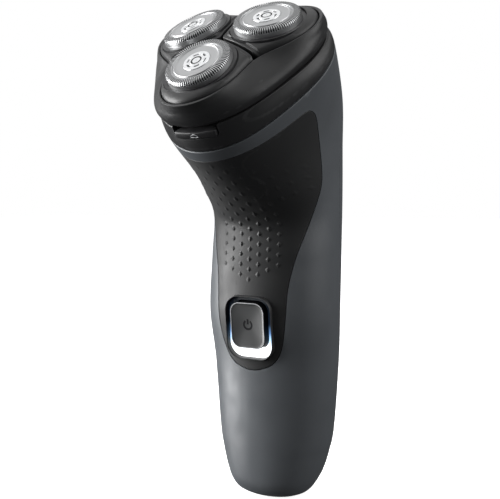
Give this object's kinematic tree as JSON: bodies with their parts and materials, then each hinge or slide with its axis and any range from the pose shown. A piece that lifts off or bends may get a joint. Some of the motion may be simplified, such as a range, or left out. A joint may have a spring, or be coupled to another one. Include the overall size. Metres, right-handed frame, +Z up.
{
  "type": "electric shaver",
  "caption": "Cordless rotary shaver with a tilted head of floating caps, a soft front grip, a lit power button, a swing-open shaving unit and a charging inlet in the foot.",
  "frame": {"origin": "on the flat foot under the handle, on the left-right middle plane, 3.9 mm behind the inlet's middle", "axes": "+Z up along the handle, -Y the front with the grip and button, X across"},
  "size_m": [0.0588, 0.0773, 0.1615],
  "materials": {
    "shell_grey": "satin moulded plastic, dark grey",
    "grip_black": "soft-touch elastomer, black",
    "gloss_black": "satin black moulded plastic",
    "black_plastic": "matt black moulded plastic",
    "steel": "turned and brushed steel",
    "hub_chrome": "polished metal",
    "frame_grey": "grey moulded plastic",
    "chassis_metal": "light metal",
    "battery_wrap": "cell in a printed-film wrap, no lettering",
    "board_green": "circuit board",
    "light_white": "frosted light guide",
    "brass": "brass",
    "gear_nylon": "natural nylon"
  },
  "bodies": {
    "handle": {"front_housing": "shell_grey", "rear_housing": "shell_grey", "grip_panel": "grip_black", "neck_ring": "gloss_black", "chamber_deck": "black_plastic", "charging_socket": "black_plastic", "charging_pins": "steel", "inner_frame": "frame_grey", "battery": "battery_wrap", "battery_tabs": "steel", "circuit_board": "board_green", "board_parts": "black_plastic", "tact_switch": "black_plastic", "status_leds": "light_white", "button_bezel": "gloss_black", "light_ring": "light_white", "drive_chassis": "chassis_metal", "motor": "chassis_metal", "gear_plate": "chassis_metal", "gear_axles": "steel", "housing_screws": "steel", "release_spring": "steel", "hinge_bracket": "gloss_black", "hinge_pin": "steel"},
    "power_key": {"power_button": "gloss_black"},
    "release_key": {"release_button": "gloss_black"},
    "motor_rotor": {"motor_pinion": "brass", "motor_shaft": "steel"},
    "shaving_unit": {"head_shell": "gloss_black", "pod_carrier": "black_plastic", "retaining_frame": "black_plastic"},
    "lock": {"lock_knob": "black_plastic"},
    "gear_1": {"drive_gear_1": "gear_nylon", "drive_spindle_1": "gear_nylon"},
    "pod_1": {"head_pod_1": "gloss_black", "cap_seat_1": "black_plastic"},
    "cap_1": {"shaving_cap_1": "steel", "cap_hub_1": "hub_chrome"},
    "cutter_rotor_1": {"cutter_1": "steel"},
    "gear_2": {"drive_gear_2": "gear_nylon", "drive_spindle_2": "gear_nylon"},
    "pod_2": {"head_pod_2": "gloss_black", "cap_seat_2": "black_plastic"},
    "cap_2": {"shaving_cap_2": "steel", "cap_hub_2": "hub_chrome"},
    "cutter_rotor_2": {"cutter_2": "steel"},
    "gear_3": {"drive_gear_3": "gear_nylon", "drive_spindle_3": "gear_nylon"},
    "pod_3": {"head_pod_3": "gloss_black", "cap_seat_3": "black_plastic"},
    "cap_3": {"shaving_cap_3": "steel", "cap_hub_3": "hub_chrome"},
    "cutter_rotor_3": {"cutter_3": "steel"}
  },
  "joints": [
    {"name": "power_press", "type": "slide", "parent": "handle", "child": "power_key", "axis": [0, 0.9962, 0.0872], "range_m": [0, 0.0007], "stiffness_N_per_m": 900, "springref_m": -0.0008},
    {"name": "release_press", "type": "slide", "parent": "handle", "child": "release_key", "axis": [0, 0.7804, 0.6252], "range_m": [0, 0.001], "stiffness_N_per_m": 900, "springref_m": -0.0008},
    {"name": "unit_open", "type": "hinge", "parent": "handle", "child": "shaving_unit", "pos_m": [0, -0.00496, 0.15987], "axis": [-1, 0, 0], "range_deg": [0, 105]},
    {"name": "lock_turn", "type": "hinge", "parent": "shaving_unit", "child": "lock", "pos_m": [0, -0.02806, 0.14072], "axis": [0, -0.6252, 0.7804], "range_deg": [0, 90]},
    {"name": "motor_spin", "type": "hinge", "parent": "handle", "child": "motor_rotor", "pos_m": [0, -0.02306, 0.13448], "axis": [0, -0.6252, 0.7804], "continuous": true},
    {"name": "gear_spin_1", "type": "hinge", "parent": "handle", "child": "gear_1", "pos_m": [0, -0.0348, 0.12635], "axis": [0, -0.6252, 0.7804], "continuous": true},
    {"name": "gear_spin_2", "type": "hinge", "parent": "handle", "child": "gear_2", "pos_m": [0.01234, -0.01812, 0.13972], "axis": [0, -0.6252, 0.7804], "continuous": true},
    {"name": "gear_spin_3", "type": "hinge", "parent": "handle", "child": "gear_3", "pos_m": [-0.01234, -0.01812, 0.13972], "axis": [0, -0.6252, 0.7804], "continuous": true},
    {"name": "pod_tilt_1", "type": "hinge", "parent": "shaving_unit", "child": "pod_1", "pos_m": [0, -0.0416, 0.1347], "axis": [1, 0, 0], "range_deg": [-2.8, 2.8], "stiffness_Nm_per_rad": 0.15},
    {"name": "cap_press_1", "type": "slide", "parent": "pod_1", "child": "cap_1", "axis": [0, 0.7157, -0.6984], "range_m": [0, 0.001], "stiffness_N_per_m": 500, "springref_m": -0.001},
    {"name": "cutter_spin_1", "type": "hinge", "parent": "cap_1", "child": "cutter_rotor_1", "pos_m": [0, -0.04468, 0.1377], "axis": [0, -0.7157, 0.6984], "continuous": true},
    {"name": "pod_tilt_2", "type": "hinge", "parent": "shaving_unit", "child": "pod_2", "pos_m": [0.01242, -0.02481, 0.14814], "axis": [-0.5, 0.6759, 0.5415], "range_deg": [-2.8, 2.8], "stiffness_Nm_per_rad": 0.15},
    {"name": "cap_press_2", "type": "slide", "parent": "pod_2", "child": "cap_2", "axis": [-0.1055, 0.573, -0.8127], "range_m": [0, 0.001], "stiffness_N_per_m": 500, "springref_m": -0.001},
    {"name": "cutter_spin_2", "type": "hinge", "parent": "cap_2", "child": "cutter_rotor_2", "pos_m": [0.01287, -0.02728, 0.15164], "axis": [0.1055, -0.573, 0.8127], "continuous": true},
    {"name": "pod_tilt_3", "type": "hinge", "parent": "shaving_unit", "child": "pod_3", "pos_m": [-0.01242, -0.02481, 0.14814], "axis": [-0.5, -0.6759, -0.5415], "range_deg": [-2.8, 2.8], "stiffness_Nm_per_rad": 0.15},
    {"name": "cap_press_3", "type": "slide", "parent": "pod_3", "child": "cap_3", "axis": [0.1055, 0.573, -0.8127], "range_m": [0, 0.001], "stiffness_N_per_m": 500, "springref_m": -0.001},
    {"name": "cutter_spin_3", "type": "hinge", "parent": "cap_3", "child": "cutter_rotor_3", "pos_m": [-0.01287, -0.02728, 0.15164], "axis": [-0.1055, -0.573, 0.8127], "continuous": true}
  ],
  "couplings": [
    {"joint": "gear_spin_1", "follows": "motor_spin", "ratio": -0.26667},
    {"joint": "cutter_spin_1", "follows": "motor_spin", "ratio": -0.26667},
    {"joint": "gear_spin_2", "follows": "motor_spin", "ratio": -0.26667},
    {"joint": "cutter_spin_2", "follows": "motor_spin", "ratio": -0.26667},
    {"joint": "gear_spin_3", "follows": "motor_spin", "ratio": -0.26667},
    {"joint": "cutter_spin_3", "follows": "motor_spin", "ratio": -0.26667}
  ]
}
